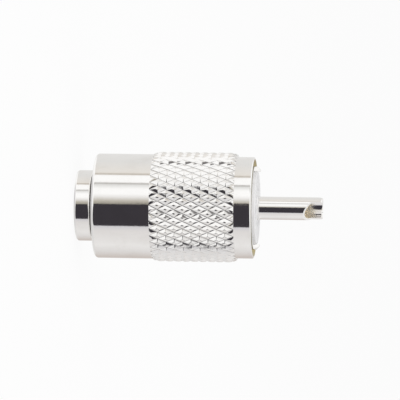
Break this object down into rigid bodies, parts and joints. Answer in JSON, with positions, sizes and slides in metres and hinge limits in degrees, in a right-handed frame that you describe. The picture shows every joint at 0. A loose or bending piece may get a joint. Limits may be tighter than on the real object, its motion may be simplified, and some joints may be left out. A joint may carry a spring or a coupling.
{
  "type": "uhf coaxial plug",
  "caption": "Solder-type coaxial plug with a hollow scooped centre pin, a white insulator and a captive knurled ring that slides forward and screws onto a socket.",
  "frame": {"origin": "centre of the tail's flat rear end, which the plug stands on", "axes": "+Z along the plug's axis from the tail to the pin's tip, +X through one locating tooth, -Y the side that the pin's scoop is seen from"},
  "size_m": [0.019, 0.019, 0.0426],
  "materials": {
    "body_plating": "polished",
    "insulator_plastic": "satin",
    "pin_plating": "polished",
    "ring_plating": "polished"
  },
  "bodies": {
    "plug": {"plug_body": "body_plating", "insulator": "insulator_plastic", "centre_pin": "pin_plating"},
    "ring": {"coupling_ring": "ring_plating"}
  },
  "joints": [
    {"name": "ring_slide", "type": "slide", "parent": "plug", "child": "ring", "axis": [0, 0, 1], "range_m": [0, 0.01]}
  ]
}
